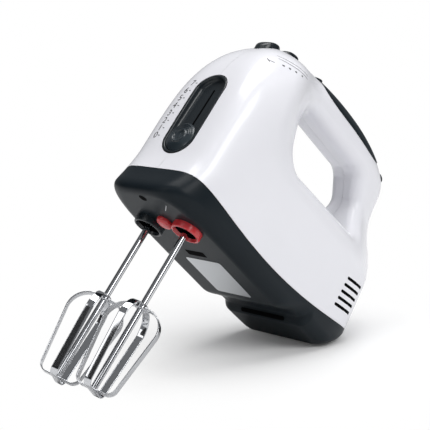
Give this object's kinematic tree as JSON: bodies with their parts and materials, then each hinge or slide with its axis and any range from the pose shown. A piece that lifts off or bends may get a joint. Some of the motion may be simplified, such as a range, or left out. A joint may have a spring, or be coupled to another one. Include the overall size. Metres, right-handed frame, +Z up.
{
  "type": "hand mixer",
  "caption": "Upright-nosed hand mixer with closed-loop handle, thumb slider, eject and turbo buttons, and a worm drive turning two interleaved strip beaters.",
  "frame": {"origin": "on the floor under the middle of the bounding box, in the standing pose on heel feet and beater tips", "axes": "+Z up from the floor, +X towards the nose, +Y to the mixer's left flank"},
  "size_m": [0.3068, 0.0854, 0.2106],
  "materials": {
    "white_shell": "glossy moulded white",
    "slate_plastic": "satin moulded slate",
    "red_plastic": "glossy red",
    "rubber_black": "matte",
    "plate_grey": "satin",
    "chrome": "polished",
    "steel": "machined",
    "nylon": "moulded",
    "brass": "turned",
    "copper": "lacquered",
    "carbon": "pressed"
  },
  "bodies": {
    "housing": {"housing_left": "white_shell", "housing_right": "white_shell", "base_cover": "slate_plastic", "handle_grip": "slate_plastic", "heel_feet": "rubber_black", "base_screw": "steel", "cord_inlet": "slate_plastic", "socket_collar_left": "red_plastic", "socket_collar_right": "slate_plastic", "marker_tab": "red_plastic", "rating_plate": "plate_grey", "speed_track": "slate_plastic", "speed_switch": "nylon", "gear_frame": "nylon", "frame_screws": "steel", "field_core": "steel", "field_coils": "copper", "front_bearing": "steel", "rear_bearing": "steel", "brush_holders": "brass", "carbon_brushes": "carbon", "spindle_bushes": "brass", "turbo_switch": "nylon"},
    "rotor": {"worm_shaft": "steel", "armature_core": "steel", "armature_windings": "copper", "commutator": "copper", "cooling_fan": "nylon"},
    "drive_left": {"drive_gear_left": "nylon", "spindle_left": "brass"},
    "drive_right": {"drive_gear_right": "nylon", "spindle_right": "brass"},
    "beater_left": {"beater_shaft_left": "chrome", "beater_wings_left": "chrome"},
    "beater_right": {"beater_shaft_right": "chrome", "beater_wings_right": "chrome"},
    "ejector": {"eject_button": "slate_plastic", "ejector_fork": "nylon"},
    "turbo": {"turbo_button": "slate_plastic"},
    "slider": {"speed_slider": "slate_plastic", "switch_wiper": "nylon"}
  },
  "joints": [
    {"name": "rotor_spin", "type": "hinge", "parent": "housing", "child": "rotor", "pos_m": [0.04152, 0, 0.12234], "axis": [0.7431, 0, 0.6691], "continuous": true},
    {"name": "drive_left_spin", "type": "hinge", "parent": "housing", "child": "drive_left", "pos_m": [0.04152, 0.0175, 0.12234], "axis": [-0.6691, 0, 0.7431], "continuous": true},
    {"name": "drive_right_spin", "type": "hinge", "parent": "housing", "child": "drive_right", "pos_m": [0.04152, -0.0175, 0.12234], "axis": [-0.6691, 0, 0.7431], "continuous": true},
    {"name": "eject_press", "type": "slide", "parent": "housing", "child": "ejector", "axis": [0.6691, 0, -0.7431], "range_m": [0, 0.006], "stiffness_N_per_m": 400, "springref_m": -0.01},
    {"name": "beater_left_slide", "type": "slide", "parent": "drive_left", "child": "beater_left", "axis": [0.6691, 0, -0.7431], "range_m": [0, 0.006]},
    {"name": "beater_right_slide", "type": "slide", "parent": "drive_right", "child": "beater_right", "axis": [0.6691, 0, -0.7431], "range_m": [0, 0.006]},
    {"name": "turbo_press", "type": "slide", "parent": "housing", "child": "turbo", "axis": [0.6691, 0, -0.7431], "range_m": [0, 0.002], "stiffness_N_per_m": 800, "springref_m": -0.002},
    {"name": "speed_slide", "type": "slide", "parent": "housing", "child": "slider", "axis": [-0.6852, 0, 0.7284], "range_m": [0, 0.03882]}
  ],
  "couplings": [
    {"joint": "drive_left_spin", "follows": "rotor_spin", "ratio": -0.035714},
    {"joint": "drive_right_spin", "follows": "rotor_spin", "ratio": 0.035714},
    {"joint": "beater_left_slide", "follows": "eject_press", "ratio": 1},
    {"joint": "beater_right_slide", "follows": "eject_press", "ratio": 1}
  ]
}
